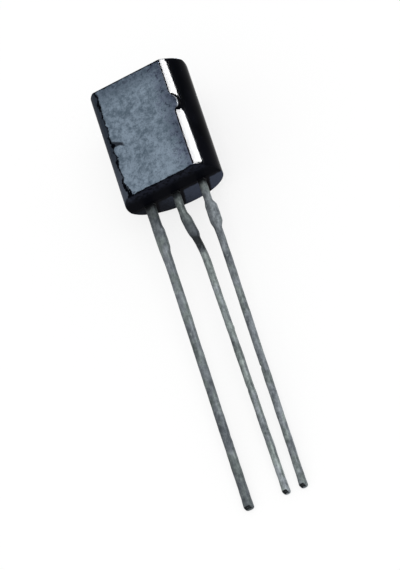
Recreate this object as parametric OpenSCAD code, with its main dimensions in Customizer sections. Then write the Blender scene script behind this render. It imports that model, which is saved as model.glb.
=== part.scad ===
// Small-signal transistor in a TO-92 package: a D-shaped moulded body on three tinned leads.
// The package is drawn upright: X across the leads, the marked flat towards -Y, the leads down
// along -Z from the parting line. It is then laid on its round back, as it comes to rest.

/* [Moulded body] */
// Width across the round side
body_w = 4.4; // [4.2:0.1:5.2]
// Depth from the marked flat to the round back
body_depth = 3.64; // [3.3:0.02:3.9]
// Height along the parting line, from the lead end to the top end
body_h = 5.5; // [5.0:0.05:6.0]
// Mould draft of the top end on the flat side, in degrees
top_draft_front = 9; // [2:0.5:10]
// Mould draft of both ends on the round side, in degrees
back_draft = 7.2; // [3:0.1:9]
// Mould draft of the lead end on the flat side, in degrees
lead_end_draft = 1; // [0.5:0.5:4]
// Rounding of the rims round both ends
edge_r = 0.05; // [0.04:0.01:0.14]
// Rounding of the two upright corners beside the flat
corner_r = 0.16; // [0.15:0.01:0.25]

/* [Gate scar] */
// Height of the low bump where the moulding gate was broken off, above the round side
gate_rise = 0.06; // [0.03:0.01:0.08]
// Radius of the bump's rounding
gate_round = 0.6; // [0.5:0.05:0.9]
// Height of its middle above the lead end
gate_z = 3.2; // [2.5:0.1:4]
// Direction of the bump, in degrees from the parting line towards the flat
gate_angle = 37; // [20:1:38]
// How far the side of the bump that was broken off level with the flat lies behind it
gate_flush = 0.005; // [0.005:0.005:0.02]

/* [Leads] */
// Distance between neighbouring leads where they leave the body
pitch = 1.27; // [1.25:0.01:1.3]
// Length of the leads outside the body
lead_len = 14.4; // [12.7:0.1:16]
// Width of the stamped strip of the left, middle and right lead
lead_w = [0.37, 0.28, 0.295]; // [0.25:0.005:0.44]
// How much wider each strip is on its left, from the post to the stub
neck_left = [0.065, 0.035, 0.015]; // [0:0.005:0.1]
// Thickness of the stamped strip
lead_t = 0.3; // [0.25:0.01:0.4]
// Thickness of the tin on every side
tin_t = 0.012; // [0.005:0.001:0.02]
// Rounding of the tinned strip's edges
lead_edge_r = 0.1; // [0.05:0.01:0.12]
// How far the strip's middle plane lies behind the parting line
lead_set_back = 0.12; // [0.05:0.01:0.14]
// Swelling at the cut end of each lead, on every side
cut_burr = 0.01; // [0:0.005:0.03]

/* [Dam bar stubs] */
// Distance from the body to the middle of the stubs left where the tie bar was cut
bar_at = 1.68; // [1.3:0.02:2.5]
// Length of a stub along the lead
bar_len = 1.4; // [0.8:0.1:1.8]
// How far the stubs stand out to the left of the left, middle and right lead
bar_left = [0, 0.045, 0.065]; // [0:0.005:0.14]
// How far the stubs stand out to the right of each lead
bar_right = [0.055, 0.075, 0.13]; // [0:0.005:0.16]

/* [Bent leads] */
// How far the left, middle and right lead are pushed to the right
bend_shift = [0, 0.32, 0.04]; // [0:0.01:0.4]
// Distance from the body at which the bend starts
shift_from = 0.5; // [0.3:0.1:1]
// Distance from the body at which it ends
shift_to = 3.6; // [3:0.1:6]
// Further drift of each lead's end to the right
end_drift = [-0.03, 0.14, -0.06]; // [-0.2:0.01:0.2]

/* [Lead frame inside] */
// Height above the lead end at which posts and paddle start
post_z = 1.7; // [1.2:0.1:2]
// Width of the emitter's and base's bonding posts
post_w = 0.62; // [0.5:0.02:0.7]
// Length of the bonding posts
post_h = 1.1; // [0.8:0.1:1.5]
// How far the posts are stepped towards the middle
post_step = 0.06; // [0:0.01:0.12]
// Width of the paddle that carries the die
paddle_w = 1.3; // [1.1:0.05:1.4]
// Length of the paddle
paddle_h = 2.1; // [1.8:0.1:2.4]
// Rounding of the corners of posts and paddle
stamp_r = 0.12; // [0.05:0.01:0.2]
// Diameter of the round notches that lock the paddle in the moulding
notch_d = 0.4; // [0.2:0.05:0.5]

/* [Die and bond wires] */
// Side of the square silicon die
die_w = 0.52; // [0.4:0.02:0.7]
// Thickness of the die
die_t = 0.18; // [0.12:0.01:0.25]
// Thickness of the layer that fixes the die to the paddle
attach_t = 0.03; // [0.02:0.005:0.05]
// How far that layer shows round the die
attach_rim = 0.05; // [0.02:0.01:0.08]
// Height of the die's middle above the paddle's lower edge
die_up = 1.25; // [1:0.05:1.4]
// Distance from the die's middle to each bond pad
pad_out = 0.14; // [0.1:0.01:0.16]
// Diameter of the bond wires
wire_d = 0.04; // [0.03:0.005:0.05]
// Diameter of the ball or stitch at a wire's ends
bond_d = 0.1; // [0.08:0.01:0.12]
// Height of the ball or stitch
bond_h = 0.035; // [0.03:0.005:0.05]
// Bending radius of the wire loops, as a share of their span
loop_share = 0.56; // [0.54:0.01:0.8]

/* [Hidden] */

// Half width of the body, and distance from the lead plane to the flat
body_r = body_w / 2;
flat_y = body_depth - body_r;
// Middle plane of the stamped strip and its face towards the flat
strip_y = lead_set_back;
strip_front = strip_y - lead_t / 2;
// Length of bare strip between the body and the start of the tin
strip_out = 0.06;
tin_from = 0.03;
// Share of a stub's half length over which it rises to its full width
stub_slope = 0.5;
// Depth that the cut ends reach on the side of the surface that the part lies on
tip_y = strip_y + lead_t / 2 + tin_t + cut_burr;
// Where the wires leave the die and land on the posts
die_z = post_z + die_up;
post_bond_z = post_z + 0.7 * post_h;
post_x = pitch - post_step;

// The body rests on the lead-end rim of its round back and on the ends of the leads
rim_y = body_r - edge_r;
rim_z = rim_y * tan(back_draft) + edge_r;
rest_a = rim_y - tip_y;
rest_b = lead_len + rim_z;
rest_tilt = atan(rest_a / rest_b) + asin(edge_r / norm([rest_a, rest_b]));
rest_lift = tip_y * cos(rest_tilt) + lead_len * sin(rest_tilt);
// The origin lies under the middle of the whole part's length
tip_reach = lead_len * cos(rest_tilt) - (strip_front - tin_t) * sin(rest_tilt);
top_reach = body_h * cos(rest_tilt);
rest_slide = (tip_reach - top_reach) / 2;

// Number of steps round the back, round each front side, round a corner and over a rim
back_steps = 36;
side_steps = 8;
corner_steps = 4;
rim_steps = 4;
// Number of stretches along a lead and of points round a quarter of its section
lead_steps = 48;
section_steps = 3;

epoxy = [0.07, 0.075, 0.09];
tin = [0.6, 0.62, 0.64];
silicon = [0.32, 0.34, 0.38];
solder = [0.72, 0.72, 0.74];
gold = [0.9, 0.72, 0.35];

// Smooth step from 0 to 1
function ease(t) = let (u = min(max(t, 0), 1)) u * u * (3 - 2 * u);

// Height of an end face above the parting line's end, at depth y
function draft(y, front, back) = y < 0 ? -y * tan(front) : y * tan(back);

// Points of an arc about c, with the last one left out if open
function arc(c, r, from, to, steps, open = false) = [
    for (i = [0 : steps - (open ? 1 : 0)])
        let (a = from + (to - from) * i / steps) c + r * [cos(a), sin(a)]
];

// The body's outline seen from above, moved in by an inset: a circle with a flat and two
// rounded corners, starting at the right end of the parting line
function outline(inset) =
    let (
        r = body_r - inset,
        c = corner_r - inset,
        cy = -flat_y + corner_r,
        cx = sqrt(pow(body_r - corner_r, 2) - cy * cy),
        a = atan2(cy, cx)
    ) concat(
        arc([0, 0], r, 0, 180, back_steps, true),
        arc([0, 0], r, 180, 180 - a, side_steps, true),
        arc([-cx, cy], c, 180 - a, 270, corner_steps),
        arc([cx, cy], c, 270, 360 + a, corner_steps),
        [for (i = [1 : side_steps - 1]) let (t = a * (1 - i / side_steps)) r * [cos(t), sin(t)]]
    );

// One ring of the body's shell, at a given inset and height above or below an end face
function lead_end_ring(inset, up) = [
    for (p = outline(inset)) [p.x, p.y, draft(p.y, lead_end_draft, back_draft) + up]
];
function top_end_ring(inset, down) = [
    for (p = outline(inset)) [p.x, p.y, body_h - draft(p.y, top_draft_front, back_draft) - down]
];

// Skin between rings that are listed from the bottom up, each anticlockwise from above
function skin(rings, n) = [
    for (k = [0 : rings - 2], i = [0 : n - 1])
        let (j = (i + 1) % n, low = k * n, high = low + n)
            each [[low + i, high + i, high + j], [low + i, high + j, low + j]]
];

function flat_list(rings) = [for (ring = rings) each ring];

// Drafted shell of the body: rims rolled over both ends, end faces split at the parting line
module body_shell() {
    rolls = [for (i = [0 : rim_steps]) 90 * i / rim_steps];
    rings = concat(
        [for (a = rolls) lead_end_ring(edge_r * (1 - sin(a)), edge_r * (1 - cos(a)))],
        [for (a = rolls) top_end_ring(edge_r * (1 - cos(a)), edge_r * (1 - sin(a)))]
    );
    n = len(rings[0]);
    top = n * (len(rings) - 1);
    back_cap = [for (i = [0 : back_steps]) i];
    front_cap = concat([for (i = [back_steps : n - 1]) i], [0]);
    polyhedron(
        points = flat_list(rings),
        faces = concat(
            [back_cap, front_cap],
            skin(len(rings), n),
            [for (cap = [back_cap, front_cap]) [for (i = [len(cap) - 1 : -1 : 0]) top + cap[i]]]
        )
    );
}

// Low dome on the round side at the flat's right edge: the cap of one sphere, broken off level
// with the flat
module gate_scar() {
    from_axis = body_r + gate_rise - gate_round;
    size = 3 * gate_round;
    intersection() {
        translate([from_axis * cos(gate_angle), -from_axis * sin(gate_angle), gate_z])
            sphere(r = gate_round, $fn = 96);
        translate([0, gate_flush - flat_y, gate_z - size / 2]) cube([body_w, size, size]);
    }
}

// Flat stamping with rounded corners, from its lower left corner
module stamped_tab(w, h) {
    r = stamp_r;
    translate([r, 0]) square([w - 2 * r, h]);
    translate([0, r]) square([w, h - 2 * r]);
    for (x = [r, w - r], y = [r, h - r]) translate([x, y]) circle(r = r, $fn = 32);
}

// Turns a flat outline in X and Z into strip of the lead frame's thickness
module stamp() {
    translate([0, strip_y + lead_t / 2, 0]) rotate([90, 0, 0]) linear_extrude(height = lead_t) children();
}

// Straight strip of a lead, from just below the body up into its post or paddle
module strip(k) {
    left = lead_x(k) - lead_w[k] / 2 - neck_left[k];
    translate([left, -strip_out]) square([lead_w[k] + neck_left[k], post_z + stamp_r + strip_out]);
}

// Inner end of an outer lead: a strip with a bonding post stepped towards the middle
module post_strip(k) {
    stamp() {
        strip(k);
        translate([(k - 1) * post_x - post_w / 2, post_z]) stamped_tab(post_w, post_h);
    }
}

// Inner end of the middle lead: a strip with the paddle, notched where the moulding grips it
module paddle_strip() {
    stamp() difference() {
        union() {
            strip(1);
            translate([-paddle_w / 2, post_z]) stamped_tab(paddle_w, paddle_h);
        }
        for (x = [-1, 1]) translate([x * paddle_w / 2, post_z + 0.3 * paddle_h]) circle(d = notch_d, $fn = 32);
    }
}

// Section of a tinned lead between two edges, anticlockwise from above
function section(left, right, grow) =
    let (
        half = lead_t / 2 + tin_t + grow,
        r = lead_edge_r,
        mid_x = [right - r, left + r, left + r, right - r],
        mid_y = [half - r, half - r, r - half, r - half]
    ) [
        for (q = [0 : 3], i = [0 : section_steps])
            let (a = 90 * (q + i / section_steps))
                [mid_x[q] + r * cos(a), strip_y + mid_y[q] + r * sin(a)]
    ];

// Place across the package of lead 0, 1 or 2 where it leaves the body
function lead_x(k) = (k - 1) * pitch;

// One ring round lead k at distance s below the body: the strip swells at the bar stub and at
// the cut end, is pushed aside by the bend, and drifts a little over its length
function lead_ring(s, k) =
    let (
        bend = bend_shift[k] * ease((s - shift_from) / (shift_to - shift_from)),
        middle = lead_x(k) + bend + end_drift[k] * s / lead_len,
        stub = ease((1 - abs(s - bar_at) / (bar_len / 2)) / stub_slope),
        neck = neck_left[k] * (1 - ease((s - bar_at) / bar_len)),
        grow = cut_burr * ease(1 - (lead_len - s) / (2 * lead_t)),
        half = lead_w[k] / 2 + tin_t + grow,
        left = middle - half - neck - bar_left[k] * stub,
        right = middle + half + bar_right[k] * stub
    ) [for (p = section(left, right, grow)) [p.x, p.y, -s]];

// Distance of ring i from the body: the rings are closer together near it
function ring_at(i) = let (t = i / lead_steps) tin_from + (lead_len - tin_from) * (0.35 * t + 0.65 * t * t);

// Tinned lead outside the body
module tinned_lead(k) {
    rings = [for (i = [lead_steps : -1 : 0]) lead_ring(ring_at(i), k)];
    n = len(rings[0]);
    top = n * (len(rings) - 1);
    polyhedron(
        points = flat_list(rings),
        faces = concat([[for (i = [0 : n - 1]) i]], skin(len(rings), n), [[for (i = [n - 1 : -1 : 0]) top + i]])
    );
}

// Looped bond wire from a pad on the die to a post, with a ball and a stitch at its ends
module bond_wire_shape(side) {
    from = [side * pad_out, die_z];
    to = [side * post_x, post_bond_z];
    die_top = attach_t + die_t;
    ball = die_top + bond_h / 2;
    stitch = bond_h / 2;
    run = norm(to - from);
    chord = norm([run, ball - stitch]);
    r = loop_share * chord;
    lean = atan2(stitch - ball, run);
    half_angle = asin(chord / 2 / r);
    turn = atan2(to.y - from.y, to.x - from.x);
    translate([from.x, strip_front, from.y]) rotate([90, 0, 0]) {
        translate([0, 0, die_top]) cylinder(d = bond_d, h = bond_h, $fn = 32);
        translate([to.x - from.x, to.y - from.y, 0]) cylinder(d = bond_d, h = bond_h, $fn = 32);
        rotate([0, 0, turn]) rotate([90, 0, 0]) translate([0, ball, 0]) rotate([0, 0, lean])
            translate([chord / 2, -r * cos(half_angle), 0]) rotate([0, 0, 90 - half_angle])
                rotate_extrude(angle = 2 * half_angle, $fn = 64) translate([r, 0]) circle(d = wire_d, $fn = 24);
    }
}

module die_shape() {
    translate([-die_w / 2, strip_front - attach_t - die_t, die_z - die_w / 2]) cube([die_w, die_t, die_w]);
}

module attach_shape() {
    side = die_w + 2 * attach_rim;
    translate([-side / 2, strip_front - attach_t, die_z - side / 2]) cube([side, attach_t, side]);
}

// Lays the upright package on its round back and its lead ends
module at_rest() {
    translate([0, rest_slide, rest_lift]) rotate([rest_tilt - 90, 0, 0]) children();
}

module moulded_body() {
    color(epoxy) at_rest() difference() {
        union() {
            body_shell();
            gate_scar();
        }
        post_strip(0);
        paddle_strip();
        post_strip(2);
        die_shape();
        attach_shape();
        bond_wire_shape(-1);
        bond_wire_shape(1);
    }
}

module emitter_lead() {
    color(tin) at_rest() {
        post_strip(0);
        tinned_lead(0);
    }
}

module collector_lead() {
    color(tin) at_rest() {
        paddle_strip();
        tinned_lead(1);
    }
}

module base_lead() {
    color(tin) at_rest() {
        post_strip(2);
        tinned_lead(2);
    }
}

module silicon_die() {
    color(silicon) at_rest() die_shape();
}

module die_attach() {
    color(solder) at_rest() attach_shape();
}

module emitter_bond_wire() {
    color(gold) at_rest() bond_wire_shape(-1);
}

module base_bond_wire() {
    color(gold) at_rest() bond_wire_shape(1);
}

moulded_body();
emitter_lead();
collector_lead();
base_lead();
silicon_die();
die_attach();
emitter_bond_wire();
base_bond_wire();
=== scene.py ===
"""Looks of a small-signal transistor in a TO-92 package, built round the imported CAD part."""

import math

import bmesh
import bpy
from mathutils import Matrix, Vector, noise


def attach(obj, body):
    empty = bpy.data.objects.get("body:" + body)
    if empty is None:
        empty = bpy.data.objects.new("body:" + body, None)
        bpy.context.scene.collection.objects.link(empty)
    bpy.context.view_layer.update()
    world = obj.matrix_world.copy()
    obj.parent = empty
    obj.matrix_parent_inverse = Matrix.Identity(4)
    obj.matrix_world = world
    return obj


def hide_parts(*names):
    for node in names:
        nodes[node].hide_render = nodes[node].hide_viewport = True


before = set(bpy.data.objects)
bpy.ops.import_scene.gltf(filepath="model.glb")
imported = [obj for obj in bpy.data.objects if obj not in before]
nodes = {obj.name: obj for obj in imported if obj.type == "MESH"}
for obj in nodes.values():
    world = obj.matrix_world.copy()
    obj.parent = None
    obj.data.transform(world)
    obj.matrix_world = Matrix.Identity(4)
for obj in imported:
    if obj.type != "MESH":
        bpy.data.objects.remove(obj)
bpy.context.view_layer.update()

# Sizes of the package, in millimetres, as in the CAD source
BODY_R = 2.2
FLAT_Y = 1.44
BODY_H = 5.5
EDGE_R = 0.05
CORNER_R = 0.16
TOP_DRAFT_FRONT, LEAD_END_DRAFT, BACK_DRAFT = 9.0, 1.0, 7.2
PITCH, LEAD_LEN, LEAD_T, TIN_T = 1.27, 14.4, 0.3, 0.012
LEAD_W, NECK_LEFT = (0.37, 0.28, 0.295), (0.065, 0.035, 0.015)
LEAD_EDGE_R, STRIP_Y, CUT_BURR = 0.1, 0.12, 0.01
BAR_AT, BAR_LEN, STUB_SLOPE = 1.68, 1.4, 0.5
BAR_LEFT, BAR_RIGHT = (0.0, 0.045, 0.065), (0.055, 0.075, 0.13)
BEND_SHIFT, SHIFT_FROM, SHIFT_TO = (0.0, 0.32, 0.04), 0.5, 3.6
END_DRIFT = (-0.03, 0.14, -0.06)
POST_Z, POST_W, POST_H, POST_STEP = 1.7, 0.62, 1.1, 0.06
PADDLE_W, PADDLE_H, STAMP_R, NOTCH_D = 1.3, 2.1, 0.12, 0.4
STRIP_OUT, TIN_FROM = 0.06, 0.03
POST_X = PITCH - POST_STEP

# Irregular wear that only the scene has: the crown of the tin, the rounding and slant of the cut ends,
# and how much longer each lead is than in the CAD
TIN_CROWN, END_ROUND, CUT_SLANT = 0.14, 0.075, 0.09
LEAD_MORE = (0.03, 0.10, 0.16)

# The package is drawn upright, then laid on its round back: tilt, lift and slide of that turn
RIM_Y = BODY_R - EDGE_R
TIP_Y = STRIP_Y + LEAD_T / 2 + TIN_T + CUT_BURR
REST_A = RIM_Y - TIP_Y
REST_B = LEAD_LEN + RIM_Y * math.tan(math.radians(BACK_DRAFT)) + EDGE_R
TILT = math.atan(REST_A / REST_B) + math.asin(EDGE_R / math.hypot(REST_A, REST_B))
LIFT = TIP_Y * math.cos(TILT) + LEAD_LEN * math.sin(TILT)
TIP_REACH = LEAD_LEN * math.cos(TILT) - (STRIP_Y - LEAD_T / 2 - TIN_T) * math.sin(TILT)
SLIDE = (TIP_REACH - BODY_H * math.cos(TILT)) / 2
MM = 0.001


def turned(p):
    """A direction from the upright package, as the part lies."""
    x, y, z = p
    return Vector((x, y * math.sin(TILT) + z * math.cos(TILT), z * math.sin(TILT) - y * math.cos(TILT)))


def laid(p):
    """A point of the upright package in millimetres, as the part lies, in metres."""
    return (turned(p) + Vector((0, SLIDE, LIFT))) * MM


def srgb(r, g, b):
    """A display colour as the linear colour that a shader takes."""
    out = []
    for c in (r, g, b):
        c = c / 255
        out.append(c / 12.92 if c <= 0.04045 else ((c + 0.055) / 1.055) ** 2.4)
    return (*out, 1.0)


def ease(t):
    """Smooth step from 0 to 1."""
    t = min(max(t, 0.0), 1.0)
    return t * t * (3 - 2 * t)


def uneven(p, scale, seed):
    """Smooth noise from -1 to 1 at a point, the same on every run."""
    return noise.noise(Vector(p) * scale + Vector((seed * 7.31, seed * 3.17, seed * 5.93)))


def skin(rings, n):
    """Four-sided faces between neighbouring rings of n points each."""
    faces = []
    for k in range(rings - 1):
        for i in range(n):
            j = (i + 1) % n
            faces.append((k * n + i, k * n + j, (k + 1) * n + j, (k + 1) * n + i))
    return faces


def add_mesh(name, verts, faces, sharp=()):
    """A smooth-shaded object from points in the upright package; sharp edges keep their crease."""
    bm = bmesh.new()
    points = [bm.verts.new(laid(p)) for p in verts]
    bm.verts.ensure_lookup_table()
    for f in faces:
        bm.faces.new([points[i] for i in f]).smooth = True
    bmesh.ops.recalc_face_normals(bm, faces=bm.faces)
    wanted = {frozenset(e) for e in sharp}
    bm.verts.index_update()
    for e in bm.edges:
        if frozenset((e.verts[0].index, e.verts[1].index)) in wanted:
            e.smooth = False
    mesh = bpy.data.meshes.new(name)
    bm.to_mesh(mesh)
    bm.free()
    obj = bpy.data.objects.new(name, mesh)
    bpy.context.scene.collection.objects.link(obj)
    return obj


# Moulded body

# Points round the outline: back, left side, flat, right side with the gate scar, and each corner
BACK_STEPS, LEFT_STEPS, FLAT_STEPS, RIGHT_STEPS, CORNER_STEPS = 140, 44, 56, 60, 14
# Rings over a rounded rim, rings up the side, and the stretch of the side that has as many again
RIM_STEPS, SIDE_STEPS, FINE_FROM, FINE_SPAN = 7, 34, 0.44, 0.28
# Rings on the end faces, as shares of the outline
CAP_SHARES = (0.995, 0.96, 0.88, 0.76, 0.62, 0.48, 0.34, 0.2, 0.08)


def draft(y, front, back):
    """How far a drafted end face falls away in front of or behind the parting line."""
    return -y * math.tan(math.radians(front)) if y < 0 else y * math.tan(math.radians(back))


def low_end(y):
    """Height of the end face that the leads come out of."""
    return draft(y, LEAD_END_DRAFT, BACK_DRAFT)


def high_end(y):
    """Height of the top end face."""
    return BODY_H - draft(y, TOP_DRAFT_FRONT, BACK_DRAFT)


def arc(cx, cy, r, start, end, steps):
    """Points of an arc in degrees, with its last point left out."""
    out = []
    for i in range(steps):
        a = math.radians(start + (end - start) * i / steps)
        out.append((cx + r * math.cos(a), cy + r * math.sin(a)))
    return out


def outline(inset):
    """The D-shaped outline from above, moved in by an inset, from the right end of the parting line."""
    r = BODY_R - inset
    c = CORNER_R - inset
    cy = CORNER_R - FLAT_Y
    cx = math.sqrt((BODY_R - CORNER_R) ** 2 - cy * cy)
    a = math.degrees(math.atan2(cy, cx))
    pts = arc(0, 0, r, 0, 180, BACK_STEPS)
    pts += arc(0, 0, r, 180, 180 - a, LEFT_STEPS)
    pts += arc(-cx, cy, c, 180 - a, 270, CORNER_STEPS)
    pts += [(-cx + 2 * cx * i / FLAT_STEPS, cy - c) for i in range(FLAT_STEPS)]
    pts += arc(cx, cy, c, 270, 360 + a, CORNER_STEPS)
    pts += arc(0, 0, r, a, 0, RIGHT_STEPS)
    return pts


# Gate scar: height and angle of its middle, how far behind the flat it is cut off, its half width and
# half length, how far it stands out, and how much it leans
GATE_Z, GATE_ANGLE, GATE_FLUSH = 3.15, 39.6, 0.001
GATE_WIDE, GATE_LONG, GATE_BUMP, GATE_LEAN = 0.26, 0.30, 0.15, 0.4
GATE_RAD = math.radians(GATE_ANGLE)
GATE_DIR = Vector((math.cos(GATE_RAD), -math.sin(GATE_RAD), 0))
GATE_SIDE = Vector((math.sin(GATE_RAD), math.cos(GATE_RAD), 0))
GATE_AT = GATE_DIR * BODY_R + Vector((0, 0, GATE_Z))


def with_gate(p):
    """Raises a point of the side to the soft, glossy bump of the gate scar, level with the flat."""
    q = Vector(p)
    low = GATE_FLUSH - FLAT_Y
    off = q - GATE_AT
    if off.length > 3 * GATE_LONG or q.y < low:
        return p
    out = Vector((q.x, q.y, 0)).normalized()
    back = off.dot(GATE_SIDE)
    far = (back / GATE_WIDE) ** 2 + ((off.z + GATE_LEAN * back) / GATE_LONG) ** 2
    q += out * GATE_BUMP * math.exp(-far ** 1.5)
    q.y = max(q.y, low)
    return (q.x, q.y, q.z)


# Nibbled left edge of the flat: its middle, its reach and deepest bite, and the swing of the whole skin
WORN_X, WORN_Y, WORN_WIDE, WORN_DEEP = -1.66, -1.39, 0.09, 0.08
BITE_DEPTH, SKIN_SWING = 0.06, 0.0007


def worn(p):
    """Nibbles the left edge of the flat, and takes the last evenness off the moulded skin."""
    x, y, z = p
    edge = math.exp(-(((x - WORN_X) / WORN_WIDE) ** 2) - ((y - WORN_Y) / WORN_DEEP) ** 2)
    bite = max(0.0, uneven(p, 2.6, 1) + 0.5 * uneven(p, 7.5, 2) - 0.10)
    depth = BITE_DEPTH * edge * min(bite, 0.5) + SKIN_SWING * (1 + uneven(p, 0.9, 4))
    r = math.hypot(x, y)
    return (x * (1 - depth / r), y * (1 - depth / r), z)


def body_mesh():
    """The moulding as one closed skin, ring by ring from the middle of one end face to the other."""
    full = outline(0)
    levels = {round(i / SIDE_STEPS, 5) for i in range(1, SIDE_STEPS)}
    levels |= {round(FINE_FROM + FINE_SPAN * i / SIDE_STEPS, 5) for i in range(SIDE_STEPS + 1)}
    low_rim, side, high_rim = [], [], []
    for i in range(RIM_STEPS + 1):
        a = math.pi / 2 * i / RIM_STEPS
        rising, falling = EDGE_R * (1 - math.sin(a)), EDGE_R * (1 - math.cos(a))
        low_rim.append([(x, y, low_end(y) + falling) for x, y in outline(rising)])
        high_rim.append([(x, y, high_end(y) - rising) for x, y in outline(falling)])
    for t in sorted(levels):
        ring = []
        for x, y in full:
            low, high = low_end(y) + EDGE_R, high_end(y) - EDGE_R
            ring.append((x, y, low + (high - low) * t))
        side.append(ring)
    low_cap, high_cap = [], []
    for share in CAP_SHARES:
        pts = [(x * share, y * share) for x, y in outline(EDGE_R)]
        low_cap.append([(x, y, low_end(y)) for x, y in pts])
        high_cap.append([(x, y, high_end(y)) for x, y in pts])
    rings = low_cap[::-1] + low_rim + side + high_rim + high_cap
    verts = [worn(with_gate(p)) for ring in rings for p in ring]
    n = len(full)
    faces = skin(len(rings), n)
    bottom = len(verts)
    verts += [(0, 0, 0), (0, 0, BODY_H)]
    top = len(rings) - 1
    for i in range(n):
        j = (i + 1) % n
        faces.append((bottom, j, i))
        faces.append((bottom + 1, top * n + i, top * n + j))
    # The parting line stays a crease on both end faces
    span = len(CAP_SHARES) + RIM_STEPS - 1
    sharp = []
    for first, centre, end in ((0, bottom, 0), (top - span, bottom + 1, top)):
        for i in (0, BACK_STEPS):
            sharp += [(k * n + i, (k + 1) * n + i) for k in range(first, first + span)]
            sharp.append((centre, end * n + i))
    return add_mesh("moulding", verts, faces, sharp)


# Leads

# Height of a notch as a share of its tab, and the short riser where a strip meets a rounded corner
NOTCH_SHARE, RISER = 0.3, 0.004
# Points round a corner of a tab and round a notch
TAB_STEPS, NOTCH_STEPS = 8, 16
# Rings along a lead and round its end, points round a quarter of a section, and the inset of the first ring
LEAD_STEPS, END_STEPS, SECTION_STEPS, START_INSET = 250, 5, 6, 0.02
# Stretches of a lead: where the tin swells to its full size, where a longer lead rises, where the cut
# slants, and where the lumps calm down before the end
SWELL_OVER, RISE_OVER, SLANT_FROM, SLANT_OVER, CALM_END = 0.3, 2.5, 0.25, 0.2, 0.35
# Height of the broad and fine lumps of the tin, and the limit that flattens their tops
BROAD_LUMP, FINE_LUMP, LUMP_LIMIT = 0.011, 0.007, 0.006

# Small marks on the edges of the tin: lead, place along it, side, depth (a lump where negative), half length
NICKS = (
    (2, 8.95, -1, 0.035, 0.10),
    (1, 6.75, 1, -0.022, 0.16),
    (0, 11.1, 1, 0.012, 0.20),
    (1, 9.6, -1, 0.015, 0.15),
)


def tab_outline(strip_x, strip_w, tab_x, tab_w, tab_h, notched):
    """Outline of a stamped strip that ends in a tab with rounded corners, in X and Z."""
    left, right, low, high = tab_x - tab_w / 2, tab_x + tab_w / 2, POST_Z, POST_Z + tab_h
    strip_left, strip_right = strip_x - strip_w / 2, strip_x + strip_w / 2
    notch, notch_r, r = low + NOTCH_SHARE * tab_h, NOTCH_D / 2, STAMP_R
    pts = [(strip_left, -STRIP_OUT), (strip_right, -STRIP_OUT), (strip_right, low)]
    if strip_right < right - r:
        pts += arc(right - r, low + r, r, 270, 360, TAB_STEPS)
    else:
        pts += [(strip_right, low + RISER)] + arc(right - r, low + r, r, 300, 360, 6)
    if notched:
        pts += arc(right, notch, notch_r, 270, 90, NOTCH_STEPS) + [(right, notch + notch_r)]
    pts += arc(right - r, high - r, r, 0, 90, TAB_STEPS) + [(right - r, high)]
    pts += arc(left + r, high - r, r, 90, 180, TAB_STEPS) + [(left, high - r)]
    if notched:
        pts += arc(left, notch, notch_r, 90, -90, NOTCH_STEPS) + [(left, notch - notch_r)]
    if strip_left > left + r:
        pts += arc(left + r, low + r, r, 180, 270, TAB_STEPS) + [(left + r, low)]
    else:
        pts += arc(left + r, low + r, r, 180, 240, 6) + [(strip_left, low + RISER)]
    pts.append((strip_left, low))
    return pts


def section(left, right, half, r):
    """Rounded section of a tinned strip between two edges, with two points on each straight side."""
    pts = []
    corners = (
        (right - r, half - r, 0),
        (left + r, half - r, 90),
        (left + r, r - half, 180),
        (right - r, r - half, 270),
    )
    for k, (cx, cy, start) in enumerate(corners):
        for i in range(SECTION_STEPS + 1):
            a = math.radians(start + 90 * i / SECTION_STEPS)
            pts.append((cx + r * math.cos(a), cy + r * math.sin(a)))
        nx, ny, s = corners[(k + 1) % 4]
        ax, ay = pts[-1]
        bx, by = nx + r * math.cos(math.radians(s)), ny + r * math.sin(math.radians(s))
        pts.append((ax + (bx - ax) / 3, ay + (by - ay) / 3))
        pts.append((ax + (bx - ax) * 2 / 3, ay + (by - ay) * 2 / 3))
    return pts


def lead_stations():
    """Places along a lead, each with the inset of its section, up to the rim of the cut face."""
    stations = [(TIN_FROM, START_INSET), (TIN_FROM + START_INSET, 0.0)]
    for i in range(LEAD_STEPS + 1):
        s = TIN_FROM + (LEAD_LEN - TIN_FROM) * i / LEAD_STEPS
        if TIN_FROM + START_INSET < s < LEAD_LEN - END_ROUND:
            stations.append((s, 0.0))
    for i in range(END_STEPS + 1):
        a = math.pi / 2 * i / END_STEPS
        stations.append((LEAD_LEN - END_ROUND * (1 - math.sin(a)), END_ROUND * (1 - math.cos(a))))
    # The middle of the cut face is hollow
    stations += [(LEAD_LEN - 0.006, 0.09), (LEAD_LEN - 0.02, 0.105), (LEAD_LEN - 0.04, 0.12)]
    return stations


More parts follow.
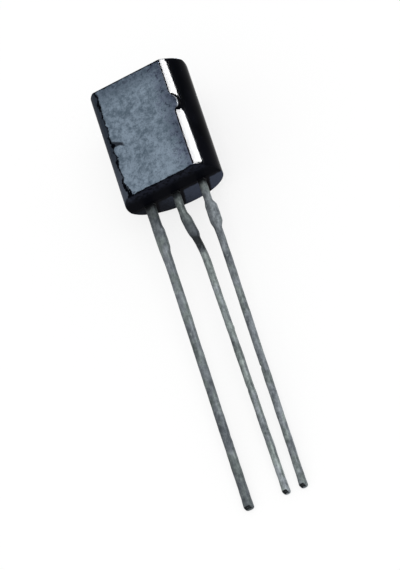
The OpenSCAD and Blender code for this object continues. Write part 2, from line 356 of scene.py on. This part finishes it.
def lead_ring(k, seed, s, inset):
    """One section of a lead with its neck, stub, nicks, burr and lumps."""
    mid = (k - 1) * PITCH + BEND_SHIFT[k] * ease((s - SHIFT_FROM) / (SHIFT_TO - SHIFT_FROM))
    mid += END_DRIFT[k] * s / LEAD_LEN
    stub = ease((1 - abs(s - BAR_AT) / (BAR_LEN / 2)) / STUB_SLOPE)
    neck = NECK_LEFT[k] * (1 - ease((s - BAR_AT) / BAR_LEN))
    grow = CUT_BURR * ease(1 - (LEAD_LEN - s) / (2 * LEAD_T))
    half_w = LEAD_W[k] / 2 + TIN_T + grow - inset
    half_t = LEAD_T / 2 + TIN_T + grow - inset
    r = max(LEAD_EDGE_R - inset * 0.6, 0.03)
    left = mid - half_w - neck - BAR_LEFT[k] * stub
    right = mid + half_w + BAR_RIGHT[k] * stub
    for lead, at, side, depth, half in NICKS:
        if lead == k and side < 0:
            left += depth * ease(1 - abs(s - at) / half)
        elif lead == k:
            right -= depth * ease(1 - abs(s - at) / half)
    swell = min(1.0, (s - TIN_FROM) / SWELL_OVER)
    # The leads aren't cut quite alike. A longer one rises by as much as it would reach under the floor
    more = ease((s - LEAD_LEN + RISE_OVER) / RISE_OVER) * LEAD_MORE[k]
    slant = CUT_SLANT * ease((s - LEAD_LEN + SLANT_FROM) / SLANT_OVER)
    ring = []
    for px, py in section(left, right, half_t, r):
        # The tin is crowned, and the cut is slanted a little, with its front edge shorter
        py *= 1 - TIN_CROWN * swell * ((2 * px - left - right) / (right - left)) ** 2
        x, y, z = px, STRIP_Y + py - more * math.tan(TILT), slant * (1 - py / half_t) / 2 - s - more
        lump = BROAD_LUMP * uneven((x * 0.8, y * 0.8, z * 0.55), 2.0, seed)
        lump += FINE_LUMP * uneven((x, y, z * 0.7), 5.5, seed + 1)
        lump = min(lump - LUMP_LIMIT, LUMP_LIMIT) * swell
        if LEAD_LEN - s < CALM_END:
            lump = min(lump, 0.0) * 0.5
        away = math.hypot(px - mid, py)
        ring.append((x + (px - mid) / away * lump, y + py / away * lump, z))
    return ring


def lead_mesh(name, k, seed, tab_x, tab_w, tab_h, notched):
    """Lead 0, 1 or 2: the tinned stretch outside the body, and the stamped inner end."""
    rings = [lead_ring(k, seed, s, inset) for s, inset in lead_stations()]
    verts = [p for ring in rings for p in ring]
    n = len(rings[0])
    faces = [tuple(range(n))] + skin(len(rings), n)
    last = (len(rings) - 1) * n
    faces.append(tuple(last + i for i in range(n - 1, -1, -1)))
    strip_x = (k - 1) * PITCH - NECK_LEFT[k] / 2
    flat = tab_outline(strip_x, LEAD_W[k] + NECK_LEFT[k], tab_x, tab_w, tab_h, notched)
    first, m = len(verts), len(flat)
    verts += [(px, STRIP_Y - LEAD_T / 2, pz) for px, pz in flat]
    verts += [(px, STRIP_Y + LEAD_T / 2, pz) for px, pz in flat]
    faces.append(tuple(first + i for i in range(m)))
    faces.append(tuple(first + m + i for i in range(m - 1, -1, -1)))
    sharp = []
    for i in range(m):
        j = (i + 1) % m
        faces.append((first + i, first + j, first + m + j, first + m + i))
        sharp += [(first + i, first + j), (first + m + i, first + m + j)]
    return add_mesh(name, verts, faces, sharp)


# Procedural materials


class Graph:
    """A short way to write the shader of a material or of the world: sockets in, sockets out."""

    def __init__(self, owner, shader="Principled BSDF"):
        self.owner = owner
        owner.use_nodes = True
        self.tree = owner.node_tree
        self.shader = self.tree.nodes[shader]

    def node(self, kind, inputs=(), **props):
        n = self.tree.nodes.new(kind)
        for k, v in props.items():
            setattr(n, k, v)
        for key, v in dict(inputs).items():
            self.put(n.inputs[key], v)
        return n

    def put(self, socket, v):
        if isinstance(v, bpy.types.NodeSocket):
            self.tree.links.new(v, socket)
        else:
            socket.default_value = v

    def math(self, op, a, b=0.0):
        return self.node("ShaderNodeMath", {0: a, 1: b}, operation=op).outputs[0]

    def add(self, a, b):
        return self.math("ADD", a, b)

    def sub(self, a, b):
        return self.math("SUBTRACT", a, b)

    def mul(self, a, b):
        return self.math("MULTIPLY", a, b)

    def larger(self, a, b):
        return self.math("MAXIMUM", a, b)

    def size(self, a):
        return self.math("ABSOLUTE", a)

    def swing(self, noise_out, amount):
        """A noise that swings round 0 in place of 0.5, times an amount."""
        return self.mul(self.sub(noise_out, 0.5), amount)

    def away(self, a, b, point):
        """Distance of two coordinates from a point."""
        da, db = self.sub(a, point[0]), self.sub(b, point[1])
        return self.math("SQRT", self.add(self.math("POWER", da, 2.0), self.math("POWER", db, 2.0)))

    def step(self, v, low, high, to_low=0.0, to_high=1.0):
        """Smooth step of v from low to high."""
        n = self.node("ShaderNodeMapRange", interpolation_type="SMOOTHSTEP")
        for key, x in enumerate((v, low, high, to_low, to_high)):
            self.put(n.inputs[key], x)
        return n.outputs[0]

    def mix(self, fac, a, b, blend="MIX"):
        n = self.node("ShaderNodeMix", data_type="RGBA", blend_type=blend)
        self.put(n.inputs[0], fac)
        self.put(n.inputs[6], a)
        self.put(n.inputs[7], b)
        return n.outputs[2]

    def noise(self, vector, scale, detail, rough):
        inputs = {"Vector": vector, "Scale": scale, "Detail": detail, "Roughness": rough}
        return self.node("ShaderNodeTexNoise", inputs).outputs["Fac"]

    def vector(self, op, a, b, output):
        return self.node("ShaderNodeVectorMath", {0: a, 1: b}, operation=op).outputs[output]

    def scaled(self, vector, factors, shift=(0, 0, 0)):
        inputs = {"Vector": vector, "Scale": factors, "Location": shift}
        return self.node("ShaderNodeMapping", inputs).outputs[0]

    def package(self):
        """Place on the upright package, in millimetres."""
        coord = self.node("ShaderNodeTexCoord").outputs["Object"]
        n = self.node("ShaderNodeMapping", {"Vector": coord}, vector_type="TEXTURE")
        n.inputs["Location"].default_value = Vector((0, SLIDE, LIFT)) * MM
        n.inputs["Rotation"].default_value = (TILT - math.pi / 2, 0, 0)
        n.inputs["Scale"].default_value = (MM, MM, MM)
        xyz = self.node("ShaderNodeSeparateXYZ", {0: n.outputs[0]}).outputs
        return n.outputs[0], xyz[0], xyz[1], xyz[2]

    def bump(self, height, distance):
        n = self.node("ShaderNodeBump", {"Height": height, "Distance": distance, "Strength": 1.0})
        self.put(self.shader.inputs["Normal"], n.outputs[0])

    def set(self, **values):
        for k, v in values.items():
            self.put(self.shader.inputs[k.replace("_", " ")], v)


# Marks on the flat, in X and Z: spotted corner, bare corner and dark spot on the left edge, then the left
# end of the scratch and the bow of its line
SPOTTED_CORNER, BARE_CORNER, EDGE_SPOT = (-1.45, 0.15), (-1.62, 0.05), (-1.48, 2.54)
SCRATCH_X, SCRATCH_Z, SCRATCH_BOW = -1.57, 2.59, 0.62
# How far to the left the frosting reaches, the height of its upper end, where it thins out over the
# rounded edges, and the frosted rim at the lead end in Y and Z
FROST_LEFT, FROST_TOP, THIN_Y = 1.525, high_end(-FLAT_Y) - EDGE_R, (-1.4372, -1.4345)
RIM_AT_Y, RIM_FROM_Z, RIM_TO_Z = (-1.395, -1.385), (0.02, 0.035), (0.10, 0.12)
# Radius of the gate scar's colour, and the front and back of its pale rim in Y
SCAR_R, PALE_RIM_FRONT, PALE_RIM_BACK = (0.33, 0.24), (-1.432, -1.424), (-1.372, -1.385)
# Shade beside a lead on the lead end: its middle right of the lead, and how it leans
SHADE_RIGHT, SHADE_LEAN = 0.26, 0.38


class Moulding(Graph):
    """The parts of the moulding compound's finish, which share their place and their noises."""

    def __init__(self, name):
        super().__init__(bpy.data.materials.new(name))
        self.point, self.x, self.y, self.z = self.package()
        self.broad = self.noise(self.point, 0.75, 3, 0.55)
        self.mottle = self.noise(self.point, 5.2, 4, 0.62)
        self.grain = self.noise(self.point, 15.0, 3, 0.7)
        self.bites = self.shifted_noise((3.1, 0, 5.2), 4.4, 4, 0.7)
        tone = self.add(self.mul(self.mottle, 0.8), self.mul(self.broad, 0.3))
        self.tone = self.add(tone, self.step(self.z, 2.2, 0.8, 0.0, 0.05))
        ragged = self.add(FROST_LEFT, self.mul(self.sub(self.bites, 0.52), 0.34))
        self.inside_left = self.add(self.x, ragged)
        spot = self.add(self.away(self.x, self.z, EDGE_SPOT), self.swing(self.mottle, 0.12))
        self.no_spot = self.sub(1.0, self.step(spot, 0.09, 0.13, 1.0, 0.0))
        self.back_rise = self.mul(self.larger(self.y, 0.0), math.tan(math.radians(BACK_DRAFT)))

    def shifted_noise(self, shift, scale, detail, rough):
        return self.noise(self.scaled(self.point, (1, 1, 1), shift), scale, detail, rough)

    def frosted_tone(self):
        """Pale blue-grey, darker to the right and at the top, with blotches there and in one corner."""
        x, z = self.x, self.z
        pale = self.mix(self.step(self.tone, 0.36, 0.74), srgb(78, 91, 103), srgb(126, 140, 154))
        pale = self.mix(self.step(self.grain, 0.52, 0.66, 0.0, 0.5), pale, srgb(58, 70, 82))
        right = self.step(self.add(x, self.swing(self.mottle, 2.2)), 0.95, 1.6, 0.0, 0.80)
        pale = self.mix(right, pale, (0.36, 0.34, 0.42, 1), "MULTIPLY")
        top = self.step(self.add(z, self.swing(self.mottle, 1.2)), 4.3, 5.2, 0.0, 0.8)
        pale = self.mix(top, pale, (0.44, 0.46, 0.50, 1), "MULTIPLY")
        blotches = self.shifted_noise((9.3, 0, 4.1), 4.2, 4, 0.7)
        where = self.add(self.step(x, 0.75, 1.45, 0.0, 0.75), self.step(z, 4.45, 5.1, 0.0, 0.55))
        where = self.add(where, self.step(self.away(x, z, SPOTTED_CORNER), 0.50, 0.25, 0.0, 0.9))
        where = self.math("MINIMUM", where, 0.85)
        pale = self.mix(self.mul(self.step(blotches, 0.53, 0.60), where), pale, srgb(40, 45, 59))
        light = self.step(blotches, 0.47, 0.40, 0.0, 0.35)
        return self.mix(self.mul(light, where), pale, srgb(112, 124, 138))

    def scratch(self):
        """Thin dark scratch from the left edge."""
        run = self.sub(self.x, SCRATCH_X)
        line = self.sub(SCRATCH_Z, self.mul(self.mul(run, run), SCRATCH_BOW))
        off = self.size(self.sub(self.z, self.add(line, self.swing(self.mottle, 0.10))))
        wide = self.step(run, 0.02, 0.35, 0.19, 0.10)
        across = self.step(self.math("DIVIDE", off, wide), 0.5, 1.25, 1.0, 0.0)
        return self.mul(across, self.step(run, 0.48, 0.64, 1.0, 0.0))

    def frosted_area(self):
        """The flat up to the start of its rounded edges, nibbled on the left, and its lower rim."""
        y, z = self.y, self.z
        slack = self.add(self.step(z, 3.4, 3.8, 0.0, 0.001), self.step(self.x, 0.2, 1.2, 0.010, 0.0))
        level = self.sub(self.add(y, self.swing(self.mottle, 0.001)), slack)
        planar = self.step(level, *THIN_Y, 1.0, 0.0)
        rim = self.mul(self.step(y, *RIM_AT_Y, 1.0, 0.0), self.step(z, *RIM_FROM_Z))
        planar = self.larger(planar, self.mul(rim, self.step(z, *RIM_TO_Z, 1.0, 0.0)))
        left = self.step(self.inside_left, 0.0, 0.06)
        corner = self.add(self.away(self.x, z, BARE_CORNER), self.swing(self.bites, 0.8))
        inward = self.swing(self.bites, 0.16)
        lower = self.step(self.add(z, self.sub(inward, 0.06)), 0.0, 0.03)
        upper = self.step(self.sub(self.add(FROST_TOP, inward), z), 0.0, 0.03)
        sides = self.mul(self.mul(planar, left), self.step(corner, 0.37, 0.43))
        return self.mul(sides, self.mul(self.mul(lower, upper), self.no_spot))

    def bevel_reflection_area(self):
        """The bevel left of the flat, where a grazing reflection is painted in grey, with a black line
        between it and the frosting.
        """
        bevel_reflection = self.step(self.add(self.y, self.mul(self.broad, 0.3)), 0.5, -0.15)
        bevel_reflection = self.mul(self.step(self.x, -1.20, -1.62), bevel_reflection)
        black_line = self.step(self.shifted_noise((1.7, 0, 8.8), 1.5, 3, 0.6), 0.44, 0.60, 0.0, 0.10)
        beyond = self.step(self.add(self.inside_left, black_line), 0.0, -0.05)
        return self.mul(self.mul(bevel_reflection, beyond), self.no_spot)

    def side_tone(self, bevel_reflection):
        """Black round side, a little greyer on the back, with the bevel's painted grey reflection."""
        black = self.mix(self.step(self.broad, 0.35, 0.65), srgb(2, 3, 6), srgb(8, 9, 15))
        back = self.step(self.add(self.x, self.mul(self.y, -0.6)), 1.1, 0.3)
        back = self.mul(back, self.step(self.y, -0.2, 0.6))
        back = self.mul(back, self.step(self.mottle, 0.35, 0.7, 0.5, 1.0))
        black = self.mix(back, black, srgb(30, 33, 41))
        # The bevel's grey is a painted reflection, lighter towards the lead end
        grey = self.mix(self.step(self.z, 2.4, 0.6), srgb(42, 48, 57), srgb(64, 70, 80))
        return self.mix(bevel_reflection, black, grey)

    def lead_end_tone(self):
        """Dark in front of the parting line, a painted grey reflection behind it that is lighter to the
        right, and a painted black shadow beside each lead.
        """
        y = self.y
        ragged = self.add(y, self.swing(self.bites, 0.35))
        across = self.step(self.add(self.x, self.swing(self.mottle, 1.6)), -1.2, 0.6, 0.12, 1.0)
        # Painted reflection: the back half grey, lighter to the right
        back_half_reflection = self.mul(self.step(ragged, 0.20, 0.36), across)
        tone = self.mix(back_half_reflection, srgb(9, 10, 15), srgb(58, 64, 78))
        spotty = self.mul(self.step(self.tone, 0.50, 0.64, 0.0, 0.4), self.step(y, -0.6, -1.2))
        tone = self.mix(spotty, tone, srgb(48, 52, 66))
        # Painted shadow of each lead on the lead end
        for at in (-PITCH, 0.0, PITCH):
            aside = self.size(self.sub(self.x, self.sub(at + SHADE_RIGHT, self.mul(y, SHADE_LEAN))))
            shade = self.step(self.add(aside, self.swing(self.bites, 0.12)), 0.10, 0.20, 1.0, 0.0)
            tone = self.mix(self.mul(shade, self.step(y, -0.25, 0.0)), tone, srgb(5, 5, 9))
        return tone

    def top_end_tone(self):
        """Even grey, with a dark parting line."""
        tone = self.mix(self.step(self.mottle, 0.35, 0.65), srgb(38, 42, 51), srgb(56, 61, 72))
        return self.mix(self.step(self.size(self.y), 0.015, 0.04, 1.0, 0.0), tone, srgb(10, 11, 15))

    def gate_scar(self, bare):
        """The scar's area, and the bare tone with a black scar, grey to the front, with a pale rim."""
        off = self.vector("SUBTRACT", self.point, GATE_AT, 0)
        near = self.vector("LENGTH", off, (0, 0, 0), "Value")
        side = self.vector("DOT_PRODUCT", off, GATE_SIDE, "Value")
        scar = self.step(self.add(near, self.swing(self.mottle, 0.08)), *SCAR_R)
        tone = self.mix(self.step(side, -0.30, -0.16), srgb(52, 58, 72), srgb(7, 8, 12))
        bare = self.mix(scar, bare, tone)
        pale_rim = self.mul(self.step(self.y, *PALE_RIM_FRONT), self.step(self.y, *PALE_RIM_BACK))
        return scar, self.mix(self.mul(self.mul(pale_rim, scar), 0.9), bare, srgb(168, 174, 184))


def moulding_material(name, gloss):
    """Black moulding compound: frosted pale flat, glossy round side, nibbled left edge with a painted grey
    reflection on its bevel, torn gate scar.
    """
    g = Moulding(name)
    scratch, frosted, bevel_reflection = g.scratch(), g.frosted_area(), g.bevel_reflection_area()
    pale = g.mix(g.mul(scratch, 0.92), g.frosted_tone(), srgb(22, 26, 33))
    lead_end = g.step(g.sub(g.z, g.back_rise), 0.06, 0.01)
    front_fall = g.mul(g.larger(g.mul(g.y, -1.0), 0.0), math.tan(math.radians(TOP_DRAFT_FRONT)))
    top_end = g.step(g.add(g.z, g.add(g.back_rise, front_fall)), BODY_H - 0.045, BODY_H - 0.02)
    bare = g.mix(lead_end, g.side_tone(bevel_reflection), g.lead_end_tone())
    bare = g.mix(top_end, bare, g.top_end_tone())
    scar, bare = g.gate_scar(bare)
    matt = g.larger(g.mul(frosted, 0.62), g.mul(g.larger(lead_end, top_end), 0.45))
    matt = g.larger(g.larger(g.mul(scar, 0.02), matt), g.mul(bevel_reflection, 0.35))
    rough = g.add(g.add(0.075, g.mul(g.broad, 0.03)), matt)
    g.set(Base_Color=g.mix(frosted, bare, pale), Roughness=rough, Specular_IOR_Level=gloss)
    height = g.add(g.mul(g.grain, g.larger(frosted, scar)), g.mul(scratch, -1.5))
    g.bump(height, 0.0000045)
    return g.owner


# The tin of each lead: tone at places along it, strength of its grain, share of green and shade at the
# body, then the one lead with a stain and where that starts and ends
TIN_TONES = (
    ((0.6, 0.44), (1.8, 0.44), (3.2, 0.57), (6.0, 0.47), (11.0, 0.40), (14.0, 0.28)),
    ((0.6, 0.34), (1.5, 0.42), (3.4, 0.56), (6.5, 0.72), (10.0, 0.60), (13.0, 0.75)),
    ((0.6, 0.48), (1.7, 0.56), (3.0, 0.42), (7.0, 0.50), (14.0, 0.54)),
)
TIN_GRAIN, TIN_GREEN, TIN_SHADED = (0.5, 0.9, 0.7), (-0.03, 0.05, -0.03), (0.3, 0.1, 0.0)
STAINED_LEAD, STAIN_FROM, STAIN_TO = 1, 2.1, 2.85


class Tin(Graph):
    """The parts of one lead's tin, which share their place and their noises."""

    def __init__(self, name, k, seed):
        super().__init__(bpy.data.materials.new(name))
        self.k, self.seed = k, seed
        self.point, px, py, pz = self.package()
        self.s = self.mul(pz, -1.0)
        self.patch = self.tin_noise((1.0, 1.0, 0.8), (0, seed, seed), 3.6, 4, 0.62)
        self.fine = self.tin_noise((1.0, 1.0, 0.7), (seed, seed, 0), 12.0, 3, 0.65)
        self.streak = self.tin_noise((1.0, 1.0, 0.10), (seed, seed, 0), 14.0, 3, 0.6)
        bend = self.step(self.s, SHIFT_FROM, SHIFT_TO, 0.0, BEND_SHIFT[k])
        middle = self.add(bend, self.mul(self.s, END_DRIFT[k] / LEAD_LEN))
        self.half_w, self.half_t = LEAD_W[k] / 2 + TIN_T, LEAD_T / 2 + TIN_T
        self.across = self.sub(self.sub(px, middle), (k - 1) * PITCH)
        self.back = self.sub(py, STRIP_Y)
        self.wander = self.add(self.s, self.swing(self.patch, 0.8))

    def tin_noise(self, factors, shift, scale, detail, rough):
        return self.noise(self.scaled(self.point, factors, shift), scale, detail, rough)

    def tone(self, tones, grain):
        """Light and dark: patches, grain and streaks round a level that changes along the lead."""
        seed = self.seed
        broad = self.tin_noise((1.6, 1.6, 0.7), (seed, 0, seed * 2), 1.0, 3, 0.6)
        tone = self.add(self.swing(self.patch, 0.65 * grain), self.swing(self.fine, 0.3 * grain))
        tone = self.add(tone, self.add(self.swing(broad, 0.4), self.swing(self.streak, 0.15)))
        along = self.node("ShaderNodeValToRGB", {0: self.math("DIVIDE", self.s, LEAD_LEN)})
        along.color_ramp.interpolation = "EASE"
        points = along.color_ramp.elements
        for i, (place, level) in enumerate(tones):
            point = points[i] if i < 2 else points.new(place / LEAD_LEN)
            point.position = place / LEAD_LEN
            point.color = (level, level, level, 1)
        tone = self.add(tone, self.mul(self.sub(along.outputs[0], 0.7), 0.30))
        return self.add(tone, 0.7)

    def mottled_and_side_shaded(self, colour):
        """Painted shade on the left and painted light on the right, tinted in long patches, with pits and
        specks.
        """
        seed = self.seed
        # Painted light and shade across the lead: darker on the left, lighter on the right
        low, high = (0.80, 0.80, 0.80, 1), (1.24, 1.24, 1.24, 1)
        edge = self.mix(self.step(self.across, -self.half_w, self.half_w), low, high)
        colour = self.mix(1.0, colour, edge, "MULTIPLY")
        hue = self.add(self.tin_noise((1.0, 1.0, 0.5), (seed, 4, seed), 2.4, 3, 0.6), TIN_GREEN[self.k])
        tint = self.mix(self.step(hue, 0.44, 0.58), (1.0, 0.973, 1.01, 1), (0.99, 1.0, 0.945, 1))
        colour = self.mix(1.0, colour, tint, "MULTIPLY")
        pits = self.tin_noise((1.0, 1.0, 0.8), (seed, 2, 0), 9.0, 3, 0.7)
        colour = self.mix(self.step(pits, 0.60, 0.72, 0.0, 0.5), colour, srgb(58, 63, 68))
        specks = self.tin_noise((1.0, 1.0, 0.6), (seed, 7, 0), 6.0, 3, 0.6)
        return self.mix(self.step(specks, 0.60, 0.72, 0.0, 0.3), colour, srgb(172, 180, 180))

    def shaded(self, colour, share):
        """Painted shade where the lead leaves the body."""
        colour = self.mix(self.step(self.wander, 0.4, 1.3, share, 0.0), colour, srgb(44, 50, 50))
        # Painted shade right where the lead leaves the body
        exit_shade = self.step(self.add(self.s, self.swing(self.patch, 0.12)), 0.08, 0.36, 1.0, 0.0)
        return self.mix(exit_shade, colour, srgb(16, 18, 22))

    def stained(self, colour, start, end):
        """A dark stain from one place along the lead to another, in a wider grey shade."""
        wob = self.wander
        shade = self.mul(self.step(wob, start - 1.3, start - 0.1), self.step(wob, end, end + 0.5, 1.0, 0.0))
        colour = self.mix(self.mul(shade, 0.7), colour, srgb(52, 56, 63))
        mark = self.step(wob, end - 0.15, end + 0.25, 1.0, 0.0)
        mark = self.mul(self.step(wob, start, start + 0.25), mark)
        return self.mix(self.mul(mark, 0.85), colour, srgb(24, 27, 29))

    def cut_end(self):
        """The dark middle and front of the cut face, inside a rim of tin at the back and sides."""
        lean = self.mul(self.sub(self.half_t, self.back), CUT_SLANT / (2 * self.half_t))
        cut = self.add(self.sub(self.s, LEAD_MORE[self.k]), lean)
        tip = self.step(self.add(cut, self.swing(self.fine, 0.03)), LEAD_LEN - 0.07, LEAD_LEN - 0.035)
        aside = self.math("DIVIDE", self.size(self.add(self.across, 0.15 * self.half_w)), self.half_w)
        tip = self.mul(tip, self.step(self.add(aside, self.swing(self.fine, 0.3)), 0.60, 0.78, 1.0, 0.0))
        front = self.step(self.add(self.back, self.swing(self.fine, 0.05)), 0.0, 0.06, 1.0, 0.0)
        return self.mul(tip, front)


def lead_material(name, k, seed):
    """Dull tin, mottled blue-grey and green-grey, with painted light and shade across it, painted shade
    where it leaves the body, and dark on its cut end.
    """
    g = Tin(name, k, seed)
    tone = g.step(g.tone(TIN_TONES[k], TIN_GRAIN[k]), 0.46, 0.94)
    colour = g.mottled_and_side_shaded(g.mix(tone, srgb(62, 68, 72), srgb(156, 165, 167)))
    colour = g.shaded(colour, TIN_SHADED[k])
    if k == STAINED_LEAD:
        colour = g.stained(colour, STAIN_FROM, STAIN_TO)
    tip = g.cut_end()
    colour = g.mix(tip, colour, srgb(30, 33, 36))
    rough = g.add(g.add(0.44, g.mul(g.patch, 0.22)), g.mul(tip, 0.3))
    g.set(Base_Color=colour, Metallic=0.75, Roughness=rough, Specular_IOR_Level=0.3)
    height = g.add(g.mul(g.patch, 0.8), g.add(g.mul(g.fine, 0.5), g.mul(g.streak, 0.3)))
    g.bump(height, 0.000006)
    return g.owner


def inner_material(name, low, high, scale, metallic, roughness, stretch=(1, 1, 1)):
    """Finish of a piece inside the moulding: fine two-tone grain with uneven gloss."""
    g = Graph(bpy.data.materials.new(name))
    grain = g.noise(g.scaled(g.package()[0], stretch), scale, 4, 0.6)
    g.set(Base_Color=g.mix(g.step(grain, 0.3, 0.7), srgb(*low), srgb(*high)))
    g.set(Metallic=metallic, Roughness=g.add(roughness, g.mul(grain, 0.15)))
    g.bump(grain, 0.000002)
    return g.owner


def dress(obj, material):
    """Gives an object one material."""
    obj.data.materials.clear()
    obj.data.materials.append(material)


# Pieces

# Specular level of the moulding, and the cosine to the flat's direction that a face of the flat passes
GLOSS, FLAT_COS = 0.004, 0.9993

body = body_mesh()
dress(body, moulding_material("moulding_compound", GLOSS))
# The flat has the same finish without any gloss, so that the strip box leaves no glare on it
body.data.materials.append(moulding_material("moulding_flat", 0.0))
front = turned((0, -1, 0))
for face in body.data.polygons:
    face.material_index = int(face.normal.dot(front) > FLAT_COS)
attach(body, "root")
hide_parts("moulded_body")

LEADS = (
    # Piece, node, noise seed, then the tab's middle, width and length, and whether it is notched
    ("lead_left", "emitter_lead", 11, -POST_X, POST_W, POST_H, False),
    ("lead_middle", "collector_lead", 23, 0.0, PADDLE_W, PADDLE_H, True),
    ("lead_right", "base_lead", 37, POST_X, POST_W, POST_H, False),
)
for k, (piece, node, seed, *tab) in enumerate(LEADS):
    lead = lead_mesh(piece, k, seed, *tab)
    dress(lead, lead_material(piece + "_tin", k, seed))
    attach(lead, "root")
    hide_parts(node)

silicon = inner_material("sawn_silicon", (70, 74, 84), (104, 108, 118), 18.0, 0.6, 0.25, (1, 6, 1))
solder = inner_material("die_solder", (150, 152, 158), (190, 190, 196), 9.0, 0.9, 0.35)
gold = inner_material("gold_wire", (198, 160, 82), (226, 190, 110), 30.0, 1.0, 0.2, (1, 1, 0.2))
dress(nodes["silicon_die"], silicon)
dress(nodes["die_attach"], solder)
dress(nodes["emitter_bond_wire"], gold)
dress(nodes["base_bond_wire"], gold)

# Floor, light and camera

# Half the floor's side in metres, and the share of plain white in what the camera sees of it
FLOOR_R, FLOOR_WHITE = 2.0, 0.75
# Soft light from all round, strength and spread of the sun, its place and the direction it comes from
WORLD_LEVEL, SUN_LEVEL, SUN_SPREAD = 0.74, 0.36, 50
SUN_AT, SUN_FROM = (0, 0, 0.3), (0.36, -0.20, 0.86)


def seen_ray(g):
    """1 on rays from the camera, a mirror or glass, and 0 on those that carry light to other things."""
    path = g.node("ShaderNodeLightPath").outputs
    return g.larger(path["Is Camera Ray"], g.larger(path["Is Glossy Ray"], path["Is Transmission Ray"]))


def plain_floor():
    """A white floor: three quarters of what the camera sees is plain white, the rest is lit and shaded."""
    mesh = bpy.data.meshes.new("floor")
    r = FLOOR_R
    mesh.from_pydata([(-r, -r, 0), (r, -r, 0), (r, r, 0), (-r, r, 0)], [], [(0, 1, 2, 3)])
    floor = bpy.data.objects.new("floor", mesh)
    bpy.context.scene.collection.objects.link(floor)
    g = Graph(bpy.data.materials.new("pale_floor"))
    g.set(Base_Color=(0.97, 0.97, 0.97, 1), Roughness=0.9, Specular_IOR_Level=0.0)
    white = g.node("ShaderNodeEmission", {"Color": (1, 1, 1, 1), "Strength": 1.0}).outputs[0]
    share = g.mul(seen_ray(g), FLOOR_WHITE)
    both = g.node("ShaderNodeMixShader", {0: share, 1: g.shader.outputs[0], 2: white})
    g.put(g.tree.nodes["Material Output"].inputs["Surface"], both.outputs[0])
    dress(floor, g.owner)


def world_light():
    """White to look at and in reflections; a plain level of soft light on everything else."""
    world = bpy.data.worlds.new("soft_world")
    bpy.context.scene.world = world
    g = Graph(world, "Background")
    g.set(Color=(1, 1, 1, 1))
    strength = g.node("ShaderNodeMapRange", {0: seen_ray(g), 3: WORLD_LEVEL, 4: 1.0})
    g.set(Strength=strength.outputs[0])


def aimed(obj, at, towards, up):
    """Places an object whose -Z looks along a direction."""
    z = -Vector(towards).normalized()
    x = Vector(up).cross(z).normalized()
    y = z.cross(x)
    rot = Matrix((x, y, z)).transposed().to_4x4()
    obj.matrix_world = Matrix.Translation(at) @ rot


def lamp(name, kind):
    """A new light of the scene, and its object."""
    data = bpy.data.lights.new(name, kind)
    obj = bpy.data.objects.new(name, data)
    bpy.context.scene.collection.objects.link(obj)
    return data, obj


plain_floor()
world_light()

sun_data, sun = lamp("soft_sun", "SUN")
sun_data.energy = SUN_LEVEL * math.pi
sun_data.angle = math.radians(SUN_SPREAD)
aimed(sun, SUN_AT, -Vector(SUN_FROM), (0, 1, 0))

# A soft box to the right of the part, seen only in the gloss of the moulding: two points on its lower
# edge, placed on the upright package, then its length, width and radiance, and its start before LOW_A
LOW_A, LOW_B = Vector((9.83, 0.94, 3.96)), Vector((9.83, -0.06, 8.60))
STRIP_LONG, STRIP_WIDE, STRIP_LEVEL, STRIP_BEFORE = 9.5, 9.0, 1850, 0.1
ALONG = (LOW_B - LOW_A).normalized()
ACROSS = Vector((0, -ALONG.z, ALONG.y))
centre = LOW_A + ALONG * (STRIP_LONG / 2 - STRIP_BEFORE) + ACROSS * STRIP_WIDE / 2
strip_data, strip = lamp("strip_box", "AREA")
strip_data.shape = "RECTANGLE"
strip_data.size = STRIP_LONG * MM
strip_data.size_y = STRIP_WIDE * MM
strip_data.energy = STRIP_LEVEL * math.pi * STRIP_LONG * STRIP_WIDE * MM * MM
strip_data.cycles.max_bounces = 0
aimed(strip, laid(centre), turned((-1, 0, 0)), turned(ACROSS))
strip.visible_camera = False
strip.visible_diffuse = False
strip.visible_transmission = False
receivers = bpy.data.collections.new("strip_box_receivers")
receivers.objects.link(body)
strip.light_linking.receiver_collection = receivers

# Camera fitted to the photograph's outline: the angles it looks from, its distance in millimetres, pixels
# to a millimetre there, and where it aims. The photograph is 570 pixels high
PHI, EPS, ROLL = math.radians(19.291), math.radians(23.277), math.radians(-18.306)
DIST, PER_MM, AIM_R, AIM_U = 150.0, 23.555, 1.063, -3.956
FRAME_HIGH, SENSOR = 570, 36.0
view = Vector((math.sin(PHI) * math.cos(EPS), -math.cos(PHI) * math.cos(EPS), -math.sin(EPS)))
level = Vector((math.cos(PHI), math.sin(PHI), 0))
over = view.cross(level)
right = level * math.cos(ROLL) + over * math.sin(ROLL)
up = view.cross(right)
place = right * AIM_R + up * AIM_U + view * DIST
camera_data = bpy.data.cameras.new("camera")
camera_data.sensor_fit = "AUTO"
camera_data.sensor_width = SENSOR
camera_data.lens = PER_MM * DIST * SENSOR / FRAME_HIGH
camera_data.clip_start = 0.01
camera_data.clip_end = 10.0
camera = bpy.data.objects.new("camera", camera_data)
bpy.context.scene.collection.objects.link(camera)
axes = Matrix((turned(right), turned(up), turned(view))).transposed().to_4x4()
camera.matrix_world = Matrix.Translation(laid(place)) @ axes
bpy.context.scene.camera = camera
bpy.context.scene.view_settings.view_transform = "Standard"
